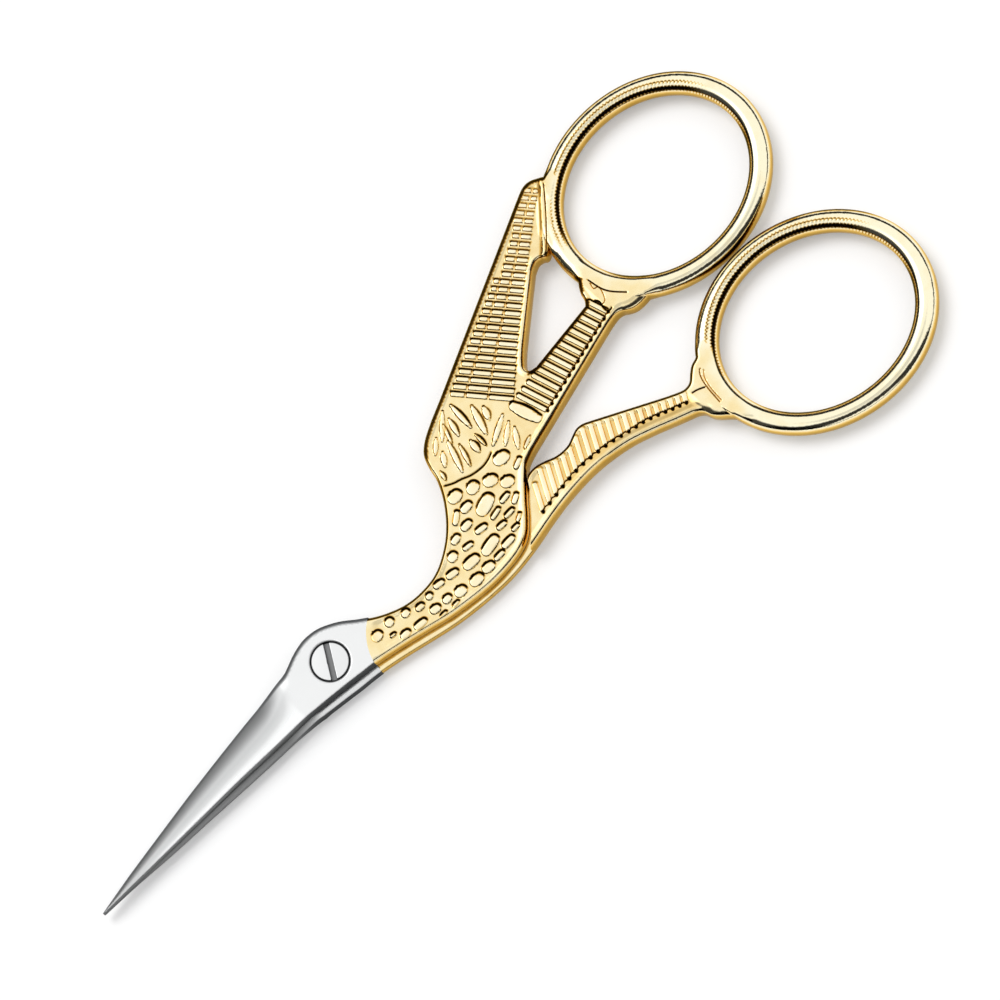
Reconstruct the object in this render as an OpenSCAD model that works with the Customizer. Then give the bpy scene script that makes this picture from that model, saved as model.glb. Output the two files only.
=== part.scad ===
// Stork embroidery scissors, closed, lying flat on the back half.
// Each half is one forging: a bright steel blade and shank, and a gold plated handle.
// The front half carries the bird's body, wing and one leg, the back half the tail and other leg.
// Origin on the pivot axis at the resting plane, +X towards the bows, -X towards the tips,
// +Z from the back half to the front half. Outline points are millimetres seen from the front.

/* [Thickness] */
// Thickness of the closed pair
pair_t = 3.0; // [2.8:0.1:3.4]
// Gap between the riding faces of the two halves
ride_gap = 0.08; // [0.06:0.01:0.12]
// Radius of the rounded edges of the handles
edge_r = 0.35; // [0.2:0.05:0.4]

/* [Blades] */
// Distance from the pivot to the tips
blade_len = 29.75; // [28:0.25:32]
// Thickness of each blade at its tip
tip_t = 0.42; // [0.3:0.02:0.6]
// Depth of the hollow ground in the riding face
hollow_d = 0.05; // [0:0.01:0.08]
// Where the ground bevel ends, measured from the pivot
plunge_x = 5.0; // [4.5:0.1:5.5]
// Height left upright at the cutting edge, as a share of the blade's thickness
edge_share = 0.4; // [0.2:0.05:0.5]

/* [Pivot screw] */
// Diameter of the slotted head
head_d = 3.44; // [3.2:0.02:3.5]
// Thickness of the head
head_t = 0.8; // [0.7:0.05:0.9]
// Diameter of the shank
shank_d = 2.2; // [2.0:0.1:2.4]
// Radial running clearance of the shank and the head
run_fit = 0.03; // [0.02:0.01:0.05]
// Width of the screwdriver slot
slot_w = 0.5; // [0.4:0.05:0.6]
// Depth of the screwdriver slot
slot_d = 0.35; // [0.25:0.05:0.5]
// Direction of the slot, from +X
slot_turn = 57; // [0:1:180]

/* [Feathers] */
// Depth of the lines struck between the long feathers
feather_d = 0.14; // [0.05:0.01:0.2]
// Width of these lines
feather_w = 0.2; // [0.12:0.02:0.24]
// Feathers in each third of the wing
wing_third_n = 9; // [6:1:9]
// Feathers on the leg
leg_feather_n = 14; // [8:1:16]
// Feathers in each quarter of the tail
tail_quarter_n = 5; // [4:1:7]

/* [Bows] */
// Width of the bow's wire at the ends of the oval
wire_end_w = 2.2; // [2.0:0.05:2.3]
// Width of the bow's wire along the sides of the oval
wire_side_w = 1.95; // [1.8:0.05:2.0]
// Height of the bow's wire
wire_h = 2.8; // [2.3:0.1:2.8]
// Half length of the front bow along its long axis, to the middle of the wire
front_bow_a = 10.0; // [9.8:0.05:10.1]
// Half width of the front bow, to the middle of the wire
front_bow_b = 8.3; // [8.1:0.01:8.32]
// Half length of the back bow along its long axis, to the middle of the wire
back_bow_a = 10.17; // [9.95:0.01:10.25]
// Half width of the back bow, to the middle of the wire
back_bow_b = 8.45; // [8.3:0.01:8.47]

/* [Hidden] */

steel = "gainsboro";
gold = "gold";
round_fn = 96;
over = 1;
mid_z = pair_t / 2;
front_z = mid_z + ride_gap / 2;
back_z = mid_z - ride_gap / 2;

// Middle and turn of each bow
front_bow_at = [50.05, 8.08];
front_bow_turn = -5;
back_bow_at = [50.75, -10.88];
back_bow_turn = -14;

// The plating ends along an arc that bulges towards the pivot
plate_at = [7.8, -4.5];
plate_r = 5.45;
handle_end_x = 70;
handle_side_y = 40;

// Steps between two outline points, round an edge, along a bow and round its wire
span_n = 2;
edge_steps = [0, 45, 90];
bow_n = 60;
section_n = 12;

// Outline of the front handle, clockwise from the shank
nape = [[1.4, 2.8], [3, 1.92], [4.4, 0.75], [6, -0.41], [8, -1.33], [10, -1.64], [12, -1.42],
        [14, -0.46], [15.6, 0.8], [17, 2.46], [17.9, 4.1], [18.25, 5.4], [18.75, 6.55],
        [19.7, 7.38], [21.2, 8.12], [23.5, 9.04]];
wing_tip = [[40.8, 16.19], [41.8, 16.55], [42.6, 16.55], [43.35, 16.2], [43.95, 15.75],
            [44.05, 15.2], [43.3, 14.75], [42.3, 14.2], [41.35, 13.3],
            [40.4, 12.2], [39.4, 11.95], [38.4, 11.5], [37.1, 10.72]];
crotch = [[31.7, 6.6], [30.85, 5.85], [30.45, 5.3], [30.55, 4.82], [31.2, 4.63]];
front_collar = [[38, 5.12], [38.3, 5.5], [38.5, 6.15], [38.95, 6.85], [39.6, 7.5], [40.2, 7.6],
                [40.5, 6.8], [40.8, 5.7], [41.4, 4.6], [42.3, 3.4], [43.1, 2.7], [43.2, 2.1],
                [42.6, 1.68], [41.6, 1.62], [40.8, 1.75], [40.2, 2.08], [39.8, 2.38],
                [39.2, 2.52], [38.2, 2.4]];
breast = [[25.6, -0.33], [24.5, -0.68], [23.9, -1.15], [23.2, -1.8], [22.2, -2.8], [21.2, -3.88],
          [20.2, -4.83], [19.3, -5.38], [18.2, -5.7], [17, -5.83], [15.5, -5.87], [14, -5.77],
          [12, -5.47], [10, -5.06], [8, -4.47], [5, -3.62], [2.6, -3.03], [1.4, -2.83]];

// Outline of the back handle, clockwise from the shank
back_nape = [[1.4, 2.62], [3, 1.75], [4.4, 0.6], [6, -0.55], [8, -1.48], [10, -1.8],
             [11.4, -1.9], [12.5, -2.25], [13.6, -2.8], [15, -3.17], [16.5, -3.36],
             [18.5, -3.36], [20.2, -3.06], [21.6, -2.55], [22.8, -1.95], [23.5, -1.55],
             [24.1, -1.4], [24.8, -1.44], [25.6, -1.7], [26.5, -2.1], [27.3, -2.27],
             [28.1, -2.25], [28.9, -1.98], [29.6, -1.8], [30.3, -1.92], [31.2, -2.4]];
back_collar = [[37, -5.75], [38.2, -6.37], [38.8, -6.5], [39.3, -6.38], [39.9, -5.9],
               [40.5, -5.5], [41.2, -5.3], [41.9, -4.95], [42.3, -5.3], [41.95, -6.2],
               [41.3, -7.3], [40.95, -8.5], [40.8, -9.8], [40.95, -11], [40.85, -11.9],
               [40.35, -12.1], [39.9, -11.6], [39.35, -10.95], [38.8, -10.4], [38.42, -9.85],
               [38.2, -9.2], [37.8, -8.78], [37.1, -8.45]];
belly = [[36, -7.97], [34, -7.07], [32, -6.3], [30, -5.78], [28, -5.5], [26, -5.45],
         [24, -5.55], [22, -5.8], [20, -6.12], [18, -6.35], [16, -6.42], [14, -6.28],
         [12, -6.02], [10, -5.66], [8, -5.15], [5, -4.3], [2.6, -3.72], [1.4, -3.5]];

// Step in the underside of the front handle that clears the back shank
front_step = [[11.6, 0.5], [12.1, -1.3], [12.7, -1.98], [13.6, -2.58], [15, -2.98],
              [16.5, -3.18], [18.5, -3.18], [20.15, -2.88], [21.5, -2.38], [22.7, -1.78],
              [23.4, -1.38], [24.2, -1.1], [26, -1.2]];
// Step up of the tail beside the front shank and body
tail_step = [[25, 0], [24.05, -1.0], [23.45, -1.85], [22.85, -2.65], [21.9, -3.75],
             [20.9, -4.75], [19.9, -5.65], [19, -6.4], [18.5, -7.5]];

// Blade and shank stations: [x, edge side y, spine side y] of the front half
stations = [[-5, 2.15, -1.9], [-3.8, 2.2, -2.05], [-3, 2.43, -2.15], [-2, 2.78, -2.29],
            [-1, 3.01, -2.44], [0, 3.08, -2.59], [1, 2.96, -2.76], [2, 2.52, -2.92],
            [3, 1.92, -3.12], [4, 1.1, -3.34], [5, 0.3, -3.62], [6, -0.41, -3.87]];
// The same of the back half, whose cutting edge is on the -Y side
back_stations = [[-5, -2.45, 1.75], [-3.8, -2.64, 1.95], [-3, -2.78, 2.2], [-2, -2.95, 2.58],
                 [-1, -3.12, 2.83], [0, -3.3, 2.9], [1, -3.46, 2.78], [2, -3.62, 2.36],
                 [3, -3.79, 1.75], [4, -4.02, 0.95], [5, -4.3, 0.12], [6, -4.58, -0.55]];
// Points of both blades between tip and plunge: [share of the length, edge y, spine y, ridge y]
blade_line = [[0.16, 0.33, -0.62, -0.3], [0.33, 0.8, -0.87, -0.12], [0.5, 1.25, -1.1, 0.02],
              [0.67, 1.62, -1.32, 0.1], [0.83, 1.92, -1.62, 0.12]];
back_line = [[0.16, -0.72, 0.22, -0.1], [0.33, -1.16, 0.5, -0.25], [0.5, -1.5, 0.85, -0.3],
             [0.67, -1.87, 1.2, -0.35], [0.83, -2.18, 1.5, -0.4]];
tip_y = -0.32;
tip_half_w = 0.1;
bevel_share = 0.45;
bevel_rise = 0.62;
shank_edge = 0.3;

// Ends of the lines between the long feathers, from the body to the tip: outer and inner ends
wing_outer = [[24.3, 8.55], [30.3, 11], [36.3, 13.5], [42, 16]];
wing_inner = [[28.2, 4.2], [32.6, 7.8], [37.75, 11.6], [42.8, 15.15]];
leg_outer = [[28.9, 3.85], [38.4, 4.7]];
leg_inner = [[29.5, 1.2], [38.9, 3.1]];
tail_outer = [[23.2, -3.4], [27.8, -2.65], [31.7, -3.1], [34.9, -4.95], [38.2, -6.85]];
tail_inner = [[22.4, -4.85], [26.4, -4.5], [30.5, -4.95], [34.3, -6.05], [37.8, -7.55]];

// Smooth curve through the points
function blend(a, b, c, d, t) =
    0.5 * ((2 * b) + (c - a) * t + (2 * a - 5 * b + 4 * c - d) * t * t
           + (3 * b - a - 3 * c + d) * t * t * t);
function curve(p, n = span_n) = [
    for (i = [0:len(p) - 2])
        for (j = [0:n - 1])
            blend(p[max(i - 1, 0)], p[i], p[i + 1], p[min(i + 2, len(p) - 1)], j / n),
    p[len(p) - 1]];
function mix(a, b, t) = a + (b - a) * t;

// Outward directions of a clockwise outline
function outward(p) = [
    for (i = [0:len(p) - 1])
        let (d = p[(i + 1) % len(p)] - p[(i + len(p) - 1) % len(p)])
            [-d.y, d.x] / norm(d)];

// Which side of the line from a to b the point c is on: negative on its right
function side_of(a, b, c) = (b.x - a.x) * (c.y - a.y) - (b.y - a.y) * (c.x - a.x);

// Whether corner i of the clockwise outline through the points left can be cut off as a triangle
function is_ear(p, left, i) =
    let (n = len(left),
         a = p[left[(i + n - 1) % n]],
         b = p[left[i % n]],
         c = p[left[(i + 1) % n]])
        side_of(a, b, c) < 0
        && len([
            for (k = left)
                let (q = p[k])
                    if (q != a && q != b && q != c && side_of(a, b, q) <= 0
                        && side_of(b, c, q) <= 0 && side_of(c, a, q) <= 0)
                        k]) == 0;
function next_ear(p, left, i = 1) =
    i > len(left) || is_ear(p, left, i) ? i : next_ear(p, left, i + 1);

// Flat face inside a clockwise outline, as triangles
function fill_outline(p, left, done = []) =
    len(left) == 3
        ? concat(done, [left])
        : let (n = len(left), i = next_ear(p, left))
              fill_outline(p, [for (k = [1:n - 1]) left[(i + k) % n]],
                           concat(done, [[left[(i + n - 1) % n], left[i % n], left[(i + 1) % n]]]));

// Slab with the given outline from z = 0 up, and both its edges rounded
module rounded_slab(outline, height, r) {
    n = len(outline);
    out = outward(outline);
    lower = [for (a = edge_steps) [r * (1 - sin(a)), r * (1 - cos(a))]];
    upper = [for (a = edge_steps) [r * (1 - cos(a)), height - r * (1 - sin(a))]];
    rings = concat(lower, upper);
    points = [
        for (ring = rings)
            for (i = [0:n - 1])
                let (q = outline[i] - out[i] * ring[0]) [q.x, q.y, ring[1]]];
    sides = [
        for (k = [0:len(rings) - 2])
            for (i = [0:n - 1])
                let (j = (i + 1) % n, a = k * n + i, b = k * n + j, c = a + n, d = b + n)
                    each [[a, b, c], [b, d, c]]];
    face = fill_outline(points, [for (i = [0:n - 1]) i]);
    bottom = [for (t = face) [t[2], t[1], t[0]]];
    top = [for (t = face) t + (len(rings) - 1) * [n, n, n]];
    polyhedron(points, concat(sides, bottom, top), convexity = 10);
}

// Solid through sections along +X, each counter-clockwise seen from +X
module loft(sections) {
    n = len(sections[0]);
    last = len(sections) - 1;
    points = [for (s = sections) each s];
    sides = [
        for (k = [0:last - 1])
            for (i = [0:n - 1])
                let (j = (i + 1) % n, a = k * n + i, b = k * n + j, c = a + n, d = b + n)
                    each [[a, c, b], [b, c, d]]];
    first_face = [for (i = [0:n - 1]) i];
    last_face = [for (i = [0:n - 1]) last * n + (n - i) % n];
    polyhedron(points, concat(sides, [first_face, last_face]), convexity = 6);
}

// One section of a blade or shank. side is +1 when the cutting edge is on the +Y side.
// low is the riding face and rise the way to the outer face
function section(x, edge_y, spine_y, ridge_y, t, wall, hollow, low, rise, side) =
    let (r = min(shank_edge, t / 3),
         ring = [
             [x, mix(edge_y, spine_y, 0.5), low + rise * hollow],
             [x, edge_y, low],
             [x, edge_y, low + rise * wall],
             [x, mix(edge_y, ridge_y, bevel_share), low + rise * mix(wall, t, bevel_rise)],
             [x, ridge_y, low + rise * t],
             [x, spine_y + side * r, low + rise * t],
             [x, spine_y, low + rise * (t - r)],
             [x, spine_y, low]],
         n = len(ring))
        side * rise > 0 ? ring : [for (i = [0:n - 1]) ring[(n - i) % n]];

function blade_sections(line, near, low, rise, side) = concat(
    [section(-blade_len, tip_y + side * tip_half_w, tip_y - side * tip_half_w, tip_y,
             tip_t, edge_share * tip_t, 0, low, rise, side)],
    [for (p = line)
        let (t = mix(tip_t, back_z, p[0]))
            section(-mix(blade_len, plunge_x, p[0]), p[1], p[2], p[3],
                    t, edge_share * t, hollow_d, low, rise, side)],
    [section(-plunge_x, near[0][1], near[0][2], mix(near[0][1], near[0][2], bevel_share),
             back_z, edge_share * back_z, hollow_d, low, rise, side)],
    [for (i = [1:len(near) - 1])
        section(near[i][0], near[i][1], near[i][2], near[i][1] - side * shank_edge,
                back_z, back_z - shank_edge, 0, low, rise, side)]);

// Everything on the gold side of the plating line
module plated_zone() {
    translate([plate_at.x, plate_at.y, -over])
        cylinder(h = pair_t + 2 * over, r = plate_r, $fn = round_fn);
    translate([plate_at.x, -handle_side_y, -over])
        cube([handle_end_x, 2 * handle_side_y, pair_t + 2 * over]);
}
// The steel side, as far as a handle's outline reaches
module bright_zone() {
    difference() {
        translate([-over, -handle_side_y, -over])
            cube([plate_at.x + over, 2 * handle_side_y, pair_t + 2 * over]);
        plated_zone();
    }
}

// Finger bow: round-topped wire swept round an oval whose long axis lies along X.
// The wire is wider at the ends of the oval than along its sides
module bow(a, b) {
    straight = (wire_h - wire_side_w) / 2;
    section = [
        for (k = [0:section_n - 1])
            let (t = 360 * (k + 0.5) / section_n)
                [cos(t) / 2, sign(sin(t)) * straight + sin(t) * wire_side_w / 2]];
    points = [
        for (i = [0:bow_n - 1])
            let (u = 360 * i / bow_n,
                 out = [cos(u) / a, sin(u) / b] / norm([cos(u) / a, sin(u) / b]),
                 w = mix(wire_side_w, wire_end_w, cos(u) * cos(u)))
                for (p = section)
                    [a * cos(u) + out.x * p.x * w, b * sin(u) + out.y * p.x * w, p.y]];
    faces = [
        for (i = [0:bow_n - 1])
            for (k = [0:section_n - 1])
                let (i2 = (i + 1) % bow_n, k2 = (k + 1) % section_n, q = i * section_n + k,
                     r = i * section_n + k2, v = i2 * section_n + k, w = i2 * section_n + k2)
                    each [[q, r, v], [r, w, v]]];
    polyhedron(points, faces, convexity = 6);
}

// Lines struck between feathers in both faces, from each point of one list to its fellow in the other
module struck_lines(outer_ends, inner_ends) {
    for (z = [-over, pair_t - feather_d])
        translate([0, 0, z])
            linear_extrude(over + feather_d)
                for (i = [0:len(outer_ends) - 1])
                    let (run = inner_ends[i] - outer_ends[i])
                        translate(outer_ends[i])
                            rotate(atan2(run.y, run.x))
                                translate([0, -feather_w / 2])
                                    square([norm(run), feather_w]);
}

module front_blade() {
    color(steel)
        difference() {
            loft(blade_sections(blade_line, stations, front_z, 1, 1));
            plated_zone();
            translate([0, 0, -over])
                cylinder(h = pair_t + 2 * over, d = shank_d + 2 * run_fit, $fn = round_fn);
            translate([0, 0, pair_t - head_t - run_fit])
                cylinder(h = head_t + over, d = head_d + 4 * run_fit, $fn = round_fn);
        }
}

module front_handle() {
    outline = concat(curve(nape), curve(wing_tip), curve(crotch), curve(front_collar), curve(breast));
    step = concat(curve(front_step), [[26, -9], [-over, -9], [-over, 9], [11.6, 9]]);
    color(gold)
        difference() {
            union() {
                rounded_slab(outline, pair_t, edge_r);
                translate([front_bow_at.x, front_bow_at.y, mid_z])
                    rotate([0, 0, front_bow_turn])
                        bow(front_bow_a, front_bow_b);
            }
            translate([0, 0, -over])
                linear_extrude(over + front_z)
                    polygon(step);
            struck_lines(curve(wing_outer, wing_third_n), curve(wing_inner, wing_third_n));
            struck_lines(curve(leg_outer, leg_feather_n), curve(leg_inner, leg_feather_n));
            bright_zone();
        }
}

module back_blade() {
    color(steel)
        difference() {
            loft(blade_sections(back_line, back_stations, back_z, -1, -1));
            plated_zone();
            translate([0, 0, -over])
                cylinder(h = pair_t + 2 * over, d = shank_d + 0.02, $fn = round_fn);
        }
}

module back_handle() {
    outline = concat(curve(back_nape), curve(back_collar), curve(belly));
    step = concat(curve(tail_step), [[-over, -7.5], [-over, 9], [25, 9]]);
    color(gold)
        difference() {
            union() {
                rounded_slab(outline, pair_t, edge_r);
                translate([back_bow_at.x, back_bow_at.y, mid_z])
                    rotate([0, 0, back_bow_turn])
                        bow(back_bow_a, back_bow_b);
            }
            translate([0, 0, back_z])
                linear_extrude(pair_t)
                    polygon(step);
            struck_lines(curve(tail_outer, tail_quarter_n), curve(tail_inner, tail_quarter_n));
            bright_zone();
        }
}

module pivot_screw() {
    color(steel)
        difference() {
            union() {
                cylinder(h = pair_t - head_t / 2, d = shank_d, $fn = round_fn);
                translate([0, 0, pair_t - head_t])
                    cylinder(h = head_t, d = head_d, $fn = round_fn);
            }
            rotate([0, 0, slot_turn])
                translate([-head_d, -slot_w / 2, pair_t - slot_d])
                    cube([2 * head_d, slot_w, slot_d + over]);
        }
}

front_blade();
front_handle();
back_blade();
back_handle();
pivot_screw();
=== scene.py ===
"""Stork embroidery scissors: polished steel blades and gold plated, die-struck handles.

Plan points are millimetres in the frame of the part: +X from the pivot to the bows, +Y towards the front bow.
"""

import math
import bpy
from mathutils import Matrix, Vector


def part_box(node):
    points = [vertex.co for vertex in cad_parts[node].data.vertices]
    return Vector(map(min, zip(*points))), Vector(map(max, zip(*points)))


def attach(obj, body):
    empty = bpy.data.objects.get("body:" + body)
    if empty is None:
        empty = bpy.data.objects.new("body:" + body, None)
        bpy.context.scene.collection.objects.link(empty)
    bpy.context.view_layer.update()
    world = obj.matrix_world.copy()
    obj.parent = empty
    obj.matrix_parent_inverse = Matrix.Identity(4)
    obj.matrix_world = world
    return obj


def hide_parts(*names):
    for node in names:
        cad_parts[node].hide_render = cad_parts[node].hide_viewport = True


bl_info = {
    "name": "Stork Embroidery Scissors",
    "version": (1, 0, 0),
    "blender": (4, 5, 0),
    "location": "View3D > Sidebar > Scissors",
    "description": "Builds gold plated stork scissors with polished steel blades and lays them on a pale floor",
    "category": "Add Mesh",
}

import bpy
import numpy as np
from mathutils import Matrix, Vector, kdtree
from mathutils.geometry import delaunay_2d_cdt

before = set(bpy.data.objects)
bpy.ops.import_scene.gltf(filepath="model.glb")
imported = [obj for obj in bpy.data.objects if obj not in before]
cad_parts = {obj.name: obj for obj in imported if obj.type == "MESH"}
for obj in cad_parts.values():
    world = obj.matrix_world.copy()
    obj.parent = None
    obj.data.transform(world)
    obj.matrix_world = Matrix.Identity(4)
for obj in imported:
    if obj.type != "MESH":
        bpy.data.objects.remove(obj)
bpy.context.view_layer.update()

MM = 0.001
# Thickness of the closed pair, and the gap between the two halves where they ride
PAIR_T = round(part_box("front_handle")[1].z / MM, 3)
RIDE_GAP = 0.08
FRONT_Z = PAIR_T / 2 + RIDE_GAP / 2
BACK_Z = PAIR_T / 2 - RIDE_GAP / 2

# The camera leans this far from straight above, towards -Y, and turns this far about its own axis
TILT = math.radians(13)
ROLL = math.radians(47)
LENS_WAY = (0.0, -math.sin(TILT), math.cos(TILT))

# Bows: middle, turn in degrees, half length and half width to the middle of the wire; then the wire itself,
# whose sides are at this share of its width from its middle
FRONT_BOW = ((50.05, 8.08), -5.0, 10.0, 8.3)
BACK_BOW = ((50.75, -10.88), -14.0, 10.17, 8.45)
WIRE_END_W = 2.2
WIRE_SIDE_W = 1.95
WIRE_H = 2.8
WIRE_SIDE = 0.475

# The plating ends along this arc
PLATE_AT = (7.8, -4.5)
PLATE_R = 5.45

# Outline of the front handle, clockwise from the shank
NAPE = [
    (1.4, 2.8), (3, 1.92), (4.4, 0.75), (6, -0.41), (8, -1.33), (10, -1.64), (12, -1.42), (14, -0.46), (15.6, 0.8),
    (17, 2.46), (17.9, 4.1), (18.25, 5.4), (18.75, 6.55), (19.7, 7.38), (21.2, 8.12), (23.5, 9.04)
]
WING_TIP = [
    (40.8, 16.19), (41.8, 16.55), (42.6, 16.55), (43.35, 16.2), (43.95, 15.75), (44.05, 15.2), (43.3, 14.75),
    (42.3, 14.2), (41.35, 13.3), (40.4, 12.2), (39.85, 11.4), (39.3, 10.85), (38.75, 10.68), (38.3, 10.95),
    (37.8, 11.0), (37.1, 10.72)
]
CROTCH = [(31.7, 6.6), (30.85, 5.85), (30.45, 5.3), (30.55, 4.82), (31.2, 4.63)]
FRONT_COLLAR = [
    (38, 5.12), (38.3, 5.5), (38.5, 6.15), (38.95, 6.85), (39.6, 7.5), (40.2, 7.6), (40.5, 6.8), (40.8, 5.7),
    (41.4, 4.6), (42.3, 3.4), (43.1, 2.7), (43.2, 2.1), (42.6, 1.68), (41.6, 1.62), (40.8, 1.75), (40.2, 2.08),
    (39.8, 2.38), (39.2, 2.52), (38.2, 2.4)
]
BREAST = [
    (25.6, -0.33), (24.5, -0.68), (23.9, -1.15), (23.2, -1.8), (22.2, -2.8), (21.2, -3.88), (20.2, -4.83),
    (19.3, -5.38), (18.2, -5.7), (17, -5.83), (15.5, -5.87), (14, -5.77), (12, -5.47), (10, -5.06), (8, -4.47),
    (5, -3.62), (2.6, -3.03), (1.4, -2.83)
]

# Outline of the back handle, clockwise from the shank
BACK_NAPE = [
    (1.4, 2.62), (3, 1.75), (4.4, 0.6), (6, -0.55), (8, -1.48), (10, -1.8), (11.4, -1.9), (12.5, -2.25),
    (13.6, -2.8), (15, -3.17), (16.5, -3.36), (18.5, -3.36), (20.2, -3.06), (21.6, -2.55), (22.8, -1.95),
    (23.5, -1.55), (24.1, -1.4), (24.8, -1.44), (25.6, -1.7), (26.5, -2.1), (27.3, -2.27), (28.1, -2.25),
    (28.9, -1.98), (29.6, -1.8), (30.3, -1.92), (31.2, -2.4)
]
BACK_COLLAR = [
    (37, -5.75), (38.2, -6.37), (38.8, -6.5), (39.3, -6.38), (39.9, -5.9), (40.5, -5.5), (41.2, -5.3),
    (41.9, -4.95), (42.3, -5.3), (41.95, -6.2), (41.3, -7.3), (40.95, -8.5), (40.8, -9.8), (40.95, -11),
    (40.85, -11.9), (40.35, -12.1), (39.9, -11.6), (39.35, -10.95), (38.8, -10.4), (38.42, -9.85), (38.2, -9.2),
    (37.8, -8.78), (37.1, -8.45)
]
BELLY = [
    (36, -7.97), (34, -7.07), (32, -6.3), (30, -5.78), (28, -5.5), (26, -5.45), (24, -5.55), (22, -5.8),
    (20, -6.12), (18, -6.35), (16, -6.42), (14, -6.28), (12, -6.02), (10, -5.66), (8, -5.15), (5, -4.3),
    (2.6, -3.72), (1.4, -3.5)
]

# Line of the step in the underside of the front handle, and of the step up of the tail
FRONT_STEP = [
    (11.6, 0.5), (12.1, -1.3), (12.7, -1.98), (13.6, -2.58), (15, -2.98), (16.5, -3.18), (18.5, -3.18),
    (20.15, -2.88), (21.5, -2.38), (22.7, -1.78), (23.4, -1.38), (24.2, -1.1), (26, -1.2)
]
TAIL_STEP = [
    (25, 0), (24.05, -1.0), (23.45, -1.85), (22.85, -2.65), (21.9, -3.75), (20.9, -4.75), (19.9, -5.65), (19, -6.4),
    (18.5, -7.5)
]

# Blades from the tip to the shank: x, cutting edge y, spine y
FRONT_BLADE = [
    (-29.75, -0.22, -0.42), (-25.79, 0.33, -0.62), (-21.58, 0.8, -0.87), (-17.38, 1.25, -1.1),
    (-13.17, 1.62, -1.32), (-9.21, 1.92, -1.62), (-5, 2.15, -1.9), (-3.8, 2.2, -2.05), (-3, 2.43, -2.15),
    (-2, 2.78, -2.29), (-1, 3.01, -2.44), (0, 3.08, -2.59)
]
BACK_BLADE = [
    (-29.75, -0.42, -0.22), (-25.79, -0.72, 0.22), (-21.58, -1.16, 0.5), (-17.38, -1.5, 0.85), (-13.17, -1.87, 1.2),
    (-9.21, -2.18, 1.5), (-5, -2.45, 1.75), (-3.8, -2.64, 1.95), (-3, -2.78, 2.2), (-2, -2.95, 2.58),
    (-1, -3.12, 2.83), (0, -3.3, 2.9)
]
# Ridge between the flat and the ground bevel, from the tip to the plunge
FRONT_RIDGE = [
    (-29.75, -0.32), (-25.79, -0.3), (-21.58, -0.12), (-17.38, 0.02), (-13.17, 0.1), (-9.21, 0.12), (-5, 0.33)
]
BACK_RIDGE = [
    (-29.75, -0.32), (-25.79, -0.1), (-21.58, -0.25), (-17.38, -0.3), (-13.17, -0.35), (-9.21, -0.4), (-5, -0.56)
]
BLADE_LEN = 29.75
TIP_T = 0.42
PLUNGE_X = -5.0
# Rounding of the blades' spines, depth of the hollow in their riding faces, and rounding of the riding faces' edges
# near the pivot and on the handles
FRONT_SPINE_R = 0.14
BACK_SPINE_R = 0.3
HOLLOW_D = 0.05
RIDE_EDGE_R = 0.05
HANDLE_RIDE_R = 0.12

# Screw: head, shank, running fit, slot, and how far its edges are broken
HEAD_D = 3.44
HEAD_T = 0.8
SHANK_D = 2.2
RUN_FIT = 0.03
SLOT_W = 0.5
SLOT_D = 0.35
SLOT_TURN = 57
SCREW_EDGE_R = 0.07

# Scales of neck and breast: middle, length, width, turn in degrees
SCALES = [
    (4.45, -1.5, 1.15, 0.95, 0), (6.05, -1.45, 0.95, 0.85, 0), (7.6, -1.95, 0.9, 0.75, 0),
    (8.85, -2.5, 0.95, 0.6, -5), (10.1, -2.45, 0.75, 0.65, 0), (11.45, -2.35, 1.15, 0.6, -10),
    (12.9, -2.6, 1.3, 0.7, -12), (6.25, -3.2, 1.1, 0.7, -5), (7.8, -3.55, 1.4, 0.65, -8),
    (9.65, -3.6, 1.1, 0.8, -15), (11.0, -3.75, 1.0, 0.75, 0), (12.3, -4.15, 1.3, 1.0, -10),
    (5.45, -2.45, 0.6, 0.3, -10), (9.8, -4.45, 0.8, 0.3, 0), (14.0, -1.6, 1.1, 0.9, 10),
    (15.3, -0.75, 1.1, 0.7, 10), (16.85, -0.6, 1.25, 0.75, 0), (16.7, 0.5, 1.4, 0.5, 35), (18.0, 0.5, 1.3, 0.8, 0),
    (18.0, 1.85, 1.5, 1.15, 0), (19.65, 1.25, 1.4, 1.15, 10), (21.15, 0.55, 1.5, 1.15, -25),
    (23.25, 1.2, 1.7, 1.2, -10), (19.3, -0.55, 2.3, 1.25, 15), (22.1, -0.6, 1.4, 1.1, -20),
    (23.9, -0.15, 1.2, 0.45, 20), (15.6, -1.95, 1.1, 0.5, -10), (17.5, -1.75, 1.3, 0.6, -10),
    (19.35, -1.75, 1.3, 0.45, 10), (20.9, -1.4, 1.2, 0.5, 5), (14.8, -3.1, 1.8, 0.95, -5),
    (17.0, -3.3, 2.2, 1.0, 8), (18.95, -2.85, 1.1, 0.5, -5), (20.2, -2.6, 1.2, 0.45, 0), (21.5, -2.1, 1.1, 0.5, 25),
    (14.0, -4.5, 1.5, 1.0, -5), (15.5, -4.5, 1.35, 0.9, -10), (16.9, -4.5, 1.2, 0.5, 0),
    (18.3, -4.25, 1.5, 0.65, 0), (19.65, -3.85, 0.9, 0.4, 0), (20.5, -3.45, 0.9, 0.35, 25),
    (11.2, -4.6, 0.8, 0.3, 0)
]
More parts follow.
